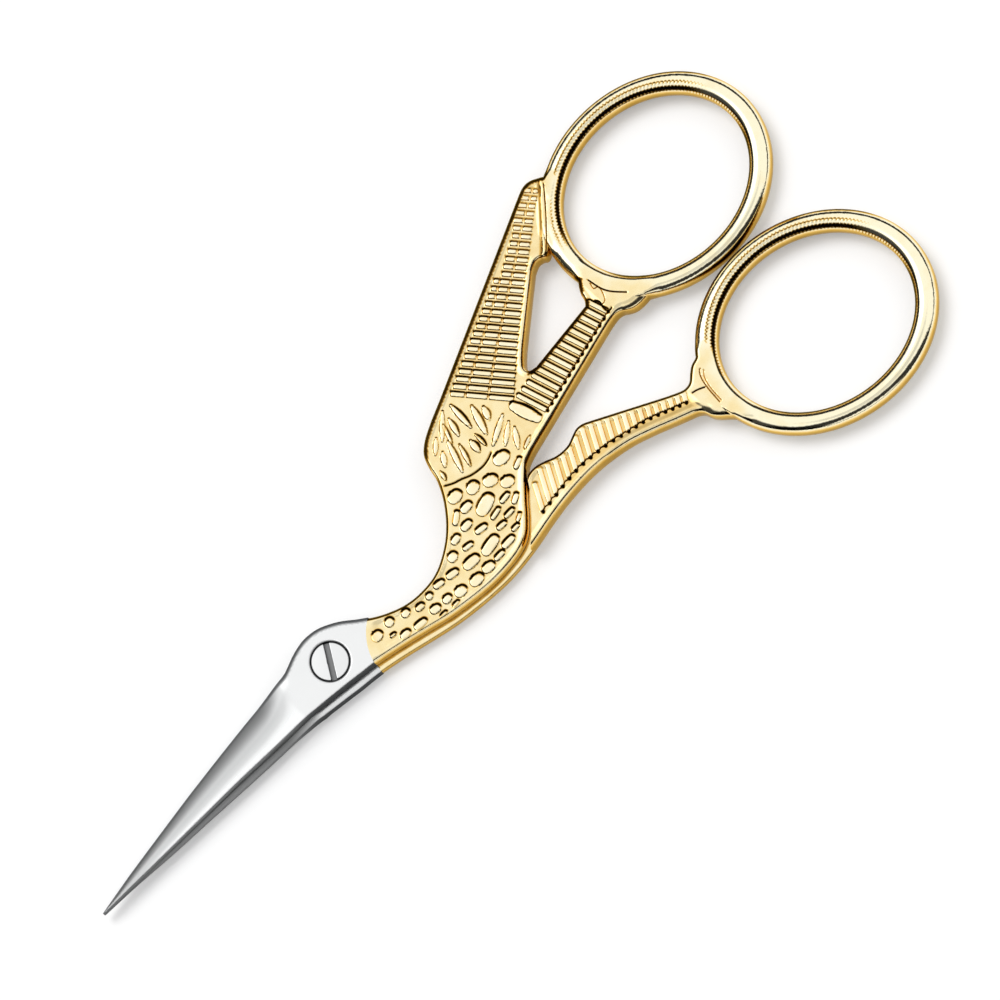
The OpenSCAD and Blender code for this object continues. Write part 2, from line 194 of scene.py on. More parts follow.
# Feathers of the breast, from end to end, and their width
FEATHERS = [
    (19.5, 5.6, 20.6, 6.55, 0.42), (20.8, 6.0, 22.7, 7.75, 0.45), (22.15, 5.3, 22.6, 6.9, 0.5),
    (23.4, 5.0, 23.6, 7.6, 0.5), (23.9, 3.6, 24.8, 6.2, 0.6), (25.0, 4.3, 25.45, 5.4, 0.6),
    (19.35, 4.3, 20.1, 5.3, 0.5), (20.05, 2.9, 21.1, 5.6, 0.5), (20.9, 2.7, 21.6, 4.7, 0.4),
    (22.35, 3.0, 22.5, 4.2, 0.6), (23.15, 2.9, 23.2, 4.3, 0.35), (23.6, 2.5, 26.1, 3.7, 0.5),
    (24.3, 1.7, 26.0, 2.9, 0.45), (18.5, 3.4, 18.75, 4.3, 0.35), (21.2, 5.2, 21.9, 6.9, 0.35),
    (24.9, 0.7, 26.0, 2.2, 0.5), (25.2, 0.25, 26.4, 0.7, 0.35)
]
# Lines along the wing between the columns of its feathers, from the body to the tip
WING_LINES = [
    [(24.32, 8.33), (28.88, 10.2), (32.96, 11.8), (35.66, 12.89), (38.1, 14.02), (39.98, 14.82), (42.0, 15.58)],
    [(25.27, 7.31), (29.62, 9.4), (33.45, 11.27), (35.87, 12.67), (38.24, 13.87)],
    [(26.65, 5.83), (30.59, 8.36), (34.14, 10.52), (36.56, 11.92), (38.76, 13.31), (40.49, 14.28), (42.36, 15.22)],
    [(28.2, 4.1), (31.83, 7.03), (35.14, 9.45), (37.37, 11.05), (39.48, 12.54), (41.05, 13.68), (42.78, 14.76)],
]
WING_LEAN = math.radians(52)
# Scalloped foot of the tail's ribs, and the line where they end above
TAIL_FEET = [
    (22.3, -4.7), (24.1, -4.55), (26, -4.4), (27.6, -4.4), (29.2, -4.6), (30.9, -4.9), (32.6, -5.4), (34, -5.75),
    (35.4, -6.3), (36.6, -6.85), (37.8, -7.35)
]
TAIL_TOPS = [
    (22.5, -3.9), (23.4, -2.6), (24.6, -1.8), (26, -2.2), (27.5, -2.45), (29, -2.2), (30, -2.1), (31.5, -2.75),
    (34, -4.05), (37, -5.7), (38.6, -6.55)
]
# Painted tones of light and shade kept on the mesh, from 0 on the palest plating, a painted highlight, to 1 in painted
# black: struck ground, edges in painted shade, edges that face LEFT_UP in painted dark reflection, and on the steel
# the sides and the bevel in painted shade and reflection
GROUND_TONE, EDGE_TONE, LEFT_UP_TONE = 0.09, 0.34, 0.78
STEEL_SIDE_TONE, BEVEL_TONE = 0.9, 0.66
# Edges that turn by more than this stay sharp
SHARP_TURN = math.radians(40)
# Ways in the plan: struck flanks that face DARK_WAY are painted dark as reflection, edges and bows are painted darkest
# where their outer sides face LEFT_UP, and the wing's inner edge and the breast, painted darker, face RIGHT_DOWN
DARK_WAY = np.array([0.73, 0.68])
LEFT_UP = np.array([-0.1, 0.995])
RIGHT_DOWN = np.array([0.65, -0.76])
# Cut lines: points, width and how dark the painted shade in them is
FRONT_CUTS = [
    ([(18.1, 3.15), (18.8, 2.75), (19.5, 2.5), (20.4, 2.1), (21.5, 1.9), (22.3, 1.97), (23, 2.2)], 0.3, 1.0),
    ([(39.84, 6.28), (40.06, 5.0), (40.45, 4.16), (41.35, 3.08)], 0.2, 0.95),
    ([(39.75, 5.95), (39.62, 5.4), (40.02, 5.2), (39.9, 4.6), (39.55, 4.0), (39.2, 3.9)], 0.12, 0.5),
    ([(38.9, 4.6), (39.1, 4.2), (38.95, 3.5), (39.1, 3.1), (39.5, 3.1)], 0.25, 1.0),
    ([(38.5, 10.7), (39.95, 12.0), (41.45, 13.5), (43.2, 15.3)], 0.42, 0.55),
    ([(38.95, 10.5), (40.3, 11.7), (41.8, 13.2), (43.4, 14.9)], 0.18, 0.9),
]
BACK_CUTS = [
    ([(38.8, -7.15), (39.3, -7.3), (39.9, -7.6)], 0.2, 1.0),
    ([(40.8, -6.2), (40.6, -6.3), (40.25, -6.9), (40.0, -8.0), (39.85, -9.4)], 0.16, 0.7),
    ([(40.95, -6.5), (40.5, -7.0), (40.2, -8.0), (40.05, -9.4)], 0.12, 0.5),
]


def curve(points, step=0.12):
    """Smooth line through the points, with a point about every step."""
    p = np.array(points, float)
    line = []
    for i in range(len(p) - 1):
        a, b, c, d = p[max(i - 1, 0)], p[i], p[i + 1], p[min(i + 2, len(p) - 1)]
        n = max(1, math.ceil(np.linalg.norm(c - b) / step))
        for t in np.arange(n) / n:
            line.append(0.5 * (2 * b + (c - a) * t + (2 * a - 5 * b + 4 * c - d) * t * t
                               + (3 * b - a - 3 * c + d) * t ** 3))
    line.append(p[-1])
    return np.array(line)


def spread(line, shares):
    """Points at these shares of the line's length."""
    run = np.concatenate([[0], np.cumsum(np.linalg.norm(np.diff(line, axis=0), axis=1))])
    at = np.asarray(shares) * run[-1]
    return np.stack([np.interp(at, run, line[:, 0]), np.interp(at, run, line[:, 1])], 1)


def divided(loop, step=0.12):
    """The closed loop with its long straights divided."""
    out = []
    for a, b in zip(loop, np.roll(loop, -1, axis=0)):
        n = max(1, math.ceil(np.linalg.norm(b - a) / step))
        out.extend(a + (b - a) * k / n for k in range(n) if np.linalg.norm(b - a) > 1e-6)
    return np.array(out)


def oval(bow, grow, step=0.12):
    """Closed oval at grow wire widths from the middle of the bow's wire."""
    (cx, cy), turn, a, b = bow
    n = int(2 * math.pi * max(a, b) / step)
    u = np.arange(n) * 2 * math.pi / n
    out = np.stack([np.cos(u) / a, np.sin(u) / b], 1)
    out /= np.linalg.norm(out, axis=1)[:, None]
    w = WIRE_SIDE_W + (WIRE_END_W - WIRE_SIDE_W) * np.cos(u) ** 2
    flat = np.stack([a * np.cos(u), b * np.sin(u)], 1) + out * (w * grow)[:, None]
    c, s = math.cos(math.radians(turn)), math.sin(math.radians(turn))
    return np.stack([cx + c * flat[:, 0] - s * flat[:, 1], cy + s * flat[:, 0] + c * flat[:, 1]], 1)


def smooth(x, low=0.0, high=1.0):
    """Soft step from 0 at low to 1 at high."""
    t = np.clip((x - low) / (high - low), 0, 1)
    return t * t * (3 - 2 * t)


def fallen(depth, r):
    """How far an edge rounded to radius r has fallen at this depth from the edge."""
    return r - np.sqrt(np.maximum(r * r - (r - np.minimum(depth, r)) ** 2, 0))


def inside(loop, points):
    """Which points are inside the closed loop."""
    x, y = points[:, 0], points[:, 1]
    odd = np.zeros(len(points), bool)
    for (ax, ay), (bx, by) in zip(loop, np.roll(loop, -1, axis=0)):
        if ay != by:
            odd ^= ((ay > y) != (by > y)) & (x < (bx - ax) * (y - ay) / (by - ay) + ax)
    return odd


def nearest(line, points):
    """Which of the line's own points is nearest to each point."""
    tree = kdtree.KDTree(len(line))
    for i, (x, y) in enumerate(line):
        tree.insert((x, y, 0), i)
    tree.balance()
    return np.array([tree.find((x, y, 0))[1] for x, y in points])


def off_line(line, points, closed=False):
    """Distance of each point from the line."""
    near = nearest(line, points)
    last = len(line) if closed else len(line) - 1
    best = np.full(len(points), np.inf)
    for step in (-1, 0):
        i = near + step
        i = i % last if closed else np.clip(i, 0, last - 1)
        a, b = line[i], line[(i + 1) % len(line)]
        way = b - a
        t = np.clip(((points - a) * way).sum(1) / np.maximum((way * way).sum(1), 1e-12), 0, 1)
        best = np.minimum(best, np.linalg.norm(points - a - way * t[:, None], axis=1))
    return best


def depth_in(loop, points):
    """Distance of each point from the loop, negative outside it."""
    return off_line(loop, points, True) * np.where(inside(loop, points), 1, -1)


def left_of(loop):
    """Direction to the left of the loop at each of its points."""
    way = np.roll(loop, -1, axis=0) - np.roll(loop, 1, axis=0)
    way /= np.linalg.norm(way, axis=1)[:, None]
    return np.stack([-way[:, 1], way[:, 0]], 1)


def outward(loop, points):
    """Direction out of the clockwise loop at its point nearest to each point."""
    return left_of(loop)[nearest(loop, points)]


def rows_beside(loop, depths):
    """Rows of points along the loop, at these depths on both sides of it."""
    side = -left_of(loop)
    return np.concatenate([loop + side * d for depth in depths for d in (depth, -depth)])


def thinned(points, gap):
    """The points with at most one in each square of the gap's size."""
    cells = np.round(points / gap).astype(int)
    keep = np.unique(cells, axis=0, return_index=True)[1]
    return points[np.sort(keep)]


def grid_over(loops, step):
    """Points of a triangular grid over the loops' box."""
    low = np.min([loop.min(0) for loop in loops], axis=0)
    high = np.max([loop.max(0) for loop in loops], axis=0)
    ys = np.arange(low[1], high[1], step * math.sqrt(3) / 2)
    rows = [np.arange(low[0] + (k % 2) * step / 2, high[0], step) for k in range(len(ys))]
    return np.concatenate([np.column_stack([row, np.full(len(row), y)]) for row, y in zip(rows, ys)])


def build_plate(name, loops, lines, points, kept, stepped, heights):
    """Closed mesh between two surfaces over a plan.

    loops and lines are edges that the mesh follows. kept says which places belong to the piece, and
    stepped which places are at level 1, for the upper and for the lower side. heights gives the upper side
    at both levels, the lower side at both levels, and the painted tone of light and shade of the upper and of the
    lower side.
    """
    coords, edges = [], []
    for line, closed in [(loop, True) for loop in loops] + [(line, False) for line in lines]:
        first = len(coords)
        coords.extend(line)
        edges.extend((first + i, first + i + 1) for i in range(len(line) - 1))
        if closed:
            edges.append((first + len(line) - 1, first))
    coords.extend(points)
    plan = delaunay_2d_cdt([Vector(c) for c in coords], edges, [], 0, 1e-5)
    xy = np.array([tuple(v) for v in plan[0]])
    tris = np.array(plan[2])
    a, b, c = xy[tris[:, 0]], xy[tris[:, 1]], xy[tris[:, 2]]
    turn = (b[:, 0] - a[:, 0]) * (c[:, 1] - a[:, 1]) - (b[:, 1] - a[:, 1]) * (c[:, 0] - a[:, 0])
    tris[turn < 0] = tris[turn < 0][:, ::-1]
    middle = (a + b + c) / 3
    on = kept(middle) & (np.abs(turn) > 1e-9)
    tris, middle = tris[on], middle[on]
    n = len(xy)
    level = [side(middle).astype(int).tolist() for side in stepped]
    *sides, painted_tone, under = heights(xy)
    z = np.concatenate(sides)

    def corner(side, k, v):
        return v + n * (2 * side + k)

    faces, neighbour, chain = [], {}, {}
    for i, (t, p, q) in enumerate(zip(tris.tolist(), *level)):
        faces.append([corner(0, p, v) for v in t])
        faces.append([corner(1, q, v) for v in reversed(t)])
        for v in t:
            chain.setdefault(v, set()).update((corner(0, p, v), corner(1, q, v)))
        for k in range(3):
            neighbour[(t[k], t[(k + 1) % 3])] = i
    for (u, v), i in neighbour.items():
        other = neighbour.get((v, u))
        p, q = level[0][i], level[1][i]
        if other is None:
            spans = [((1, q), (0, p))]
        else:
            spans = []
            if level[0][other] != p:
                spans.append(((0, level[0][other]), (0, p)))
            if level[1][other] != q:
                spans.append(((1, q), (1, level[1][other])))
        for down, up in spans:
            ends = [(corner(*down, w), corner(*up, w)) for w in (u, v)]
            if all(z[hi] <= z[lo] for lo, hi in ends):
                continue
            rise = [
                sorted((m for m in chain[w] if z[lo] < z[m] < z[hi]), key=lambda m: z[m])
                for w, (lo, hi) in zip((u, v), ends)
            ]
            faces.append([ends[0][0], ends[1][0], *rise[1], ends[1][1], ends[0][1], *rise[0][::-1]])
    used = sorted({v for face in faces for v in face})
    at = {v: i for i, v in enumerate(used)}
    verts = [(xy[v % n][0] * MM, xy[v % n][1] * MM, z[v] * MM) for v in used]
    mesh = bpy.data.meshes.new(name)
    mesh.from_pydata(verts, [], [[at[v] for v in face] for face in faces])
    mesh.attributes.new("painted_tone", "FLOAT", "POINT").data.foreach_set(
        "value", np.concatenate([painted_tone, painted_tone, under, under])[used])
    mesh.validate()
    mesh.shade_smooth()
    mesh.set_sharp_from_angle(angle=SHARP_TURN)
    piece = bpy.data.objects.new(name, mesh)
    bpy.context.scene.collection.objects.link(piece)
    return piece


def seen(strokes):
    """Strokes with their heights across the picture stretched back to plan."""
    flat = 1 / math.cos(TILT)
    return [(x0, y0 * flat, x1, y1 * flat, *rest) for x0, y0, x1, y1, *rest in strokes]


def to_plan(line):
    """Smooth line through points whose heights are stretched from the picture back to plan."""
    return curve([(x, y / math.cos(TILT)) for x, y in line], 0.08)


def scale_strokes():
    """Rounded scales; the struck flank adds a little to each width."""
    out = []
    for x, y, length, width, turn in SCALES:
        half = max(length - width, 0.02) / 2
        c, s = math.cos(math.radians(turn)) * half, math.sin(math.radians(turn)) * half
        out.append((x - c, y - s, x + c, y + s, width + 0.12, 1.0, 2.1, 0.1))
    return out


def length_to(line, start, way):
    """How far along the way from the start the line is met."""
    reach = line - start
    across = np.abs(reach[:, 0] * way[1] - reach[:, 1] * way[0])
    return float((reach @ way)[across.argmin()])


def wing_strokes(rows=28):
    """Rows of short feathers across the wing, cut into columns by lines that run along it."""
    bounds = [curve(line, 0.02) for line in WING_LINES]
    way = np.array([math.cos(WING_LEAN), -math.sin(WING_LEAN)])
    out = []
    for k, start in enumerate(spread(bounds[0], np.arange(rows) / (rows - 1))):
        t = k / (rows - 1)
        stops = [length_to(line, start, way) for line in bounds]
        width = 0.5 - 0.04 * t
        for low, high in zip(stops, stops[1:]):
            if high - low > 0.45:
                first, last = start + way * (low + width / 2), start + way * (high - width / 2 - 0.1)
                out.append((*first, *last, width, 1.0 - 0.55 * t * t, 5.0, 0.0))
    return out


def leg_feet(bars=15):
    """Feet of the leg's feathers, evenly along its rim."""
    return spread(np.array([(29.05, 1.05), (39.0, 3.05)]), np.arange(bars) / (bars - 1))


def leg_strokes():
    """Long feathers down the leg, and the rounded one that begins them."""
    out = [(27.3, 3.5, 27.95, 1.3, 1.2, 1.0, 2.4, 0.25)]
    way = np.array((-0.27, 0.963))
    for k, foot in enumerate(leg_feet()):
        length = 2.85 - 0.07 * k
        out.append((*(foot + way * 0.28), *(foot + way * length), 0.5, 1.0, 3.0, 0.0))
    return out


def tail_feet(ribs=21):
    """Feet of the tail's ribs, which stand closer towards its end."""
    shares = np.arange(ribs) / (ribs - 1)
    return spread(curve(TAIL_FEET, 0.05), 1.2 * shares - 0.2 * shares ** 2)


def scallops(feet, bulge):
    """Cut line that runs from foot to foot with an arch of this height between each two."""
    out = [feet[0]]
    for a, b in zip(feet, feet[1:]):
        way = (b - a) / np.linalg.norm(b - a)
        out += [(a + b) / 2 + np.array([-way[1], way[0]]) * bulge, b]
    return [tuple(point) for point in out]


def tail_strokes():
    """Ribs of the tail, from the scalloped foot up to the edge."""
    upper = curve(TAIL_TOPS, 0.03)
    way = np.array([0.5, 0.866])
    out = []
    for foot in tail_feet():
        length = max(length_to(upper, foot, way), 0.5)
        out.append((*(foot + way * 0.25), *(foot + way * (length - 0.2)), 0.52, 0.5, 3.0, 0.0))
    return out


def struck(points, strokes, pits):
    """Height of the raised strokes at each point, 0 on the ground and 1 on top, and the painted shade beside them.

    A stroke has two ends, a width, how dark the painted shade on its flank is, how square its ends are and how much it
    tapers. A pit has a middle and a radius, and is painted dark as shade.
    """
    rise, painted_tone = np.zeros(len(points)), np.zeros(len(points))
    for x0, y0, x1, y1, width, darkness, square, taper in strokes:
        reach = width / 2
        margin = reach + 0.2
        near = np.nonzero(
            (points[:, 0] > min(x0, x1) - margin) & (points[:, 0] < max(x0, x1) + margin)
            & (points[:, 1] > min(y0, y1) - margin) & (points[:, 1] < max(y0, y1) + margin))[0]
        if not len(near):
            continue
        a = np.array((x0, y0))
        along = np.array((x1 - x0, y1 - y0))
        length = max(np.linalg.norm(along), 1e-6)
        along = along / length
        q = points[near] - a
        t = q @ along
        beyond = t - np.clip(t, 0, length)
        aside = q[:, 0] * along[1] - q[:, 1] * along[0]
        away = (np.abs(beyond) ** square + np.abs(aside) ** square) ** (1 / square)
        away /= 1 - taper * (2 * np.clip(t / length, 0, 1) - 1) ** 2
        way = q - along * np.clip(t, 0, length)[:, None]
        facing = (way @ DARK_WAY) / np.maximum(np.linalg.norm(way, axis=1), 1e-6)
        steep = smooth(facing, 0.0, 0.75)
        slim = 0.65 if square >= 3 else 1.0
        flank = (0.1 + (0.04 + 0.16 * reach) * steep) * slim
        height = smooth((reach - away) / flank) * (1 - 0.15 * (away / reach) ** 2)
        rise[near] = np.maximum(rise[near], height)
        # Painted dark reflection on the flank that faces DARK_WAY, and a thin line of painted shade round the rest
        band = smooth(away, reach - flank, reach - flank * 0.5)
        band *= 1 - smooth(away, reach + 0.07 * steep * slim, reach + 0.06 + 0.1 * steep * slim)
        painted_tone[near] = np.maximum(painted_tone[near], band * darkness * (0.27 + 0.68 * steep))
    # Pits are painted dark as shade, and flatten the strokes over them
    for x, y, size in pits:
        away = np.hypot(points[:, 0] - x, points[:, 1] - y)
        dark = 1 - smooth(away, size * 0.6, size)
        rise = rise * (1 - dark)
        painted_tone = np.maximum(painted_tone, dark)
    return rise, painted_tone


def stroke_points(strokes, pits, step=0.09):
    """Points along the foot and the shoulder of each stroke."""
    out = []
    for x0, y0, x1, y1, width, *_ in strokes:
        reach = width / 2
        a, b = np.array((x0, y0)), np.array((x1, y1))
        length = np.linalg.norm(b - a)
        way = (b - a) / max(length, 1e-9)
        side = np.array((-way[1], way[0]))
        for inset in (-0.14, -0.07, 0.0, 0.07, 0.14, 0.22):
            out_by = reach - inset
            if out_by < 0.04:
                continue
            n = max(1, math.ceil(length / step))
            for k in range(n + 1):
                middle = a + (b - a) * k / n
                out += [middle + side * out_by, middle - side * out_by]
            m = max(4, math.ceil(math.pi * out_by / step))
            for k in range(1, m):
                u = math.pi * k / m
                out += [b + (way * math.sin(u) + side * math.cos(u)) * out_by,
                        a + (-way * math.sin(u) + side * math.cos(u)) * out_by]
    for x, y, size in pits:
        u = np.arange(10) * math.pi / 5
        for r in (size * 0.55, size, size * 1.2):
            out += list(np.stack([x + r * np.cos(u), y + r * np.sin(u)], 1))
    return np.array(out)


def milling(bow, ridges, points, from_inner, deep, fine):
    """Depth of the milling round the inner side of the bow, and its tone of painted dark reflections: two dark rows
    where deep is 1, dark teeth where fine is.
    """
    turn = math.radians(bow[1])
    x, y = (points - bow[0]).T
    u = np.arctan2((y * math.cos(turn) - x * math.sin(turn)) / bow[3],
                   (x * math.cos(turn) + y * math.sin(turn)) / bow[2])
    far_side = smooth(1 + x / np.maximum(np.hypot(x, y), 1e-6), 0.3, 0.6)
    valley = 0.5 - 0.5 * np.cos(u * ridges)
    at = from_inner + 0.09 * (valley - 0.5)
    outer_row = smooth(1 - np.abs(at - 0.95) / 0.09)
    inner_row = smooth(at, 0.2, 0.28) * (1 - smooth(at, 0.5, 0.58))
    teeth = smooth(at, 0.1, 0.16) * (1 - smooth(at, 0.3, 0.36)) * smooth(valley, 0.4, 0.9)
    depth = 0.02 * valley * deep * smooth(at, 0.15, 0.25) * (1 - smooth(at, 0.95, 1.05))
    tone = np.maximum(deep * np.maximum(0.9 * outer_row, 0.92 * inner_row), 0.6 * teeth * fine * far_side)
    return depth, tone


def struck_handle(name, outline, bow, strokes, pits, cuts, collar, soft_edge, step, flat_side, ridges):
    """One half's gold plated part: struck handle, collar and finger bow in one piece.

    soft_edge is a stretch of the outline that is rounded like the bow, and the x where that begins. step is the
    line of its step and flat_side says on which side of the pair the riding face is.
    """
    relief = bpy.context.scene.scissors_relief
    edge_r, strike = relief.edge_radius / MM, relief.strike_depth / MM
    wire_r = WIRE_SIDE_W / 2
    front = flat_side == "under"
    slab = divided(outline)
    outer, inner = oval(bow, WIRE_SIDE), oval(bow, -WIRE_SIDE)
    cut_lines = [(to_plan(line), w, darkness) for line, w, darkness in cuts]
    soft_line, soft_from = soft_edge

    def edge_tones(x, d, out_way, bow_share):
        """Painted shade and dark reflection along the edges, and painted shade at the foot of the walls below them."""
        left_up = smooth(out_way @ LEFT_UP, 0.1, 0.6)
        right_down = smooth(out_way @ RIGHT_DOWN, 0.86, 0.95) * front
        tone = (EDGE_TONE + 0.26 * right_down) * (1 - left_up) + LEFT_UP_TONE * left_up
        tone = tone * (1 - bow_share) + (EDGE_TONE + 0.5 * left_up) * bow_share
        # The painted dark band is broad along the wing and the back, narrow along the neck and the tail
        along_wing = front * smooth(x, 17.0, 19.0)
        wide = left_up * (1 + (0.4 + 1.1 * along_wing) * (1 - bow_share)) + 0.6 * right_down * (1 - bow_share)
        # The foot of the walls is painted in shade, deeper on the front half's lower right side
        foot = (0.56 if front else 0.36) * (1 - bow_share) + EDGE_TONE * bow_share
        return tone * (1 - smooth(d, 0.02 + 0.16 * wide, 0.2 + 0.12 * wide)), 0.3 * left_up + foot * (1 - left_up)

    def heights(points):
        x = points[:, 0]
        slab_in = depth_in(slab, points)
        from_inner = -depth_in(inner, points)
        ring_in = np.minimum(depth_in(outer, points), from_inner)
        d = np.maximum(np.maximum(slab_in, ring_in), 0)
        bow_share = 1 - smooth(slab_in, -1.0, 0.7)
        r = edge_r + (wire_r - edge_r) * bow_share
        face = PAIR_T / 2 + (WIRE_H - PAIR_T) / 2 * bow_share - fallen(d, r)
        soft_r = edge_r + (wire_r - edge_r) * smooth(x, soft_from, soft_from + 4) * (1 - bow_share)
        soft_in = off_line(soft_line, points) + 3 * np.maximum(ring_in, 0)
        face = np.minimum(face, PAIR_T / 2 - fallen(soft_in, soft_r))
        ground = smooth(d, edge_r * 0.8, edge_r * 0.8 + 0.4) * smooth(plating_depth(points), 0.1, 1.5)
        ground *= collar(points) * (1 - bow_share)
        rise, painted_tone = struck(points, strokes, pits)
        face -= strike * ground * (1 - rise)
        painted_tone *= smooth(d, 0.1, 0.3)
        # The painted light of the plating: palest on the bows and the raised strokes as a painted highlight, darker on
        # the struck ground as painted shade, and darkest along the edges as painted shade and dark reflection, most of
        # all along those that face LEFT_UP
        deeper = 0.01 + (0.015 if front else 0.1) * smooth(x, 24.5, 26.5)
        tone = (GROUND_TONE - 0.06 * rise * ground) * (1 - bow_share) + deeper * ground * (1 - rise)
        ring_way = outward(outer[::-1], points)
        side_way = ring_way * np.where(from_inner < wire_r, -1, 1)[:, None]
        out_way = outward(slab, points) * (1 - bow_share)[:, None] + side_way * bow_share[:, None]
        edge_tone, foot = edge_tones(x, d, out_way, bow_share)
        tone = np.maximum(tone, edge_tone)
        painted_tone = np.maximum(painted_tone, tone)
        # The cut lines are sunk, and painted dark as shade in them
        for line, width, darkness in cut_lines:
            cut = smooth(1 - off_line(line, points) / (width / 2))
            face -= strike * 0.6 * cut
            painted_tone = np.maximum(painted_tone, cut * darkness)
        # The milling is deep where the bow's inner side faces the lower right, and fine teeth elsewhere; its dark rows
        # and teeth are painted reflections
        on_bow = smooth(bow_share, 0.75, 1.0) * smooth(ring_in, 0.02, 0.1)
        deep = smooth(ring_way @ LEFT_UP, 0.25, 0.65) * on_bow
        depth, mill_tone = milling(bow, ridges, points, from_inner, deep, on_bow - deep)
        face -= depth
        painted_tone = np.maximum(painted_tone, mill_tone)
        upper, lower = PAIR_T / 2 + face, PAIR_T / 2 - face
        broken = fallen(np.maximum(slab_in, 0), HANDLE_RIDE_R)
        under = np.where(d < 0.03, foot if front else np.minimum(painted_tone, foot), painted_tone)
        return upper, BACK_Z - broken, lower, FRONT_Z + broken, painted_tone, under

    step_line = curve(step)
    closing = [(26, -9), (-1, -9), (-1, 9), (11.6, 9)] if front else [(-1, -7.5), (-1, 9), (25, 9)]
    zone = np.concatenate([step_line, closing])

    def in_step(points):
        return inside(zone, points)

    def kept(points):
        in_ring = inside(outer, points) & ~inside(inner, points)
        return (inside(slab, points) | in_ring) & plated(points)

    turns = np.radians([15, 30, 45, 60, 75, 90])
    rows = [rows_beside(slab, edge_r * (1 - np.cos(turns)))]
    rows += [rows_beside(loop, wire_r * (1 - np.cos(turns[:-1]))) for loop in (outer, inner)]
    rows += [oval(bow, -WIRE_SIDE + g / 2, 0.066) for g in (0.12, 0.2, 0.3, 0.5, 0.6, 0.85, 0.95, 1.05)]
    rows += [rows_beside(line, [0, w / 4, w / 2, w * 0.7])[2:-2] for line, w, darkness in cut_lines]
    points = np.concatenate([stroke_points(strokes, pits), *rows, grid_over([slab, outer], 0.17)])
    within = np.maximum(depth_in(slab, points), np.minimum(depth_in(outer, points), -depth_in(inner, points)))
    points = thinned(points[within > 0.01], 0.04)
    stepped = (nowhere, in_step) if front else (in_step, nowhere)
    return build_plate(name, [slab, outer, inner], [plating_arc(), step_line], points, kept, stepped, heights)


def nowhere(points):
    """No place at all, for a side without a step."""
    return np.zeros(len(points), bool)


def plating_depth(points):
    """How far each point is inside the plating's arc, negative on the bare steel."""
    x, y = points.T
    return np.where(x > PLATE_AT[0], PLATE_R, PLATE_R - np.hypot(x - PLATE_AT[0], y - PLATE_AT[1]))


def plated(points):
    """Which points are on the plated side of the arc."""
    return plating_depth(points) > 0


def plating_arc():
    """The line where the plating ends, reaching past both edges of the shank."""
    u = np.radians(np.arange(95, 266, 1.5))
    return np.stack([PLATE_AT[0] + PLATE_R * np.cos(u), PLATE_AT[1] + PLATE_R * np.sin(u)], 1)


def front_outline():
    """Outline of the front handle, with the gap between wing and leg."""
    return np.concatenate([curve(p) for p in (NAPE, WING_TIP, CROTCH, FRONT_COLLAR, BREAST)])


def back_outline():
    """Outline of the back handle."""
    return np.concatenate([curve(p) for p in (BACK_NAPE, BACK_COLLAR, BELLY)])


def circle(radius, step=0.1):
    """Closed circle round the pivot's axis."""
    n = int(2 * math.pi * radius / step)
    u = np.arange(n) * 2 * math.pi / n
    return np.stack([radius * np.cos(u), radius * np.sin(u)], 1)


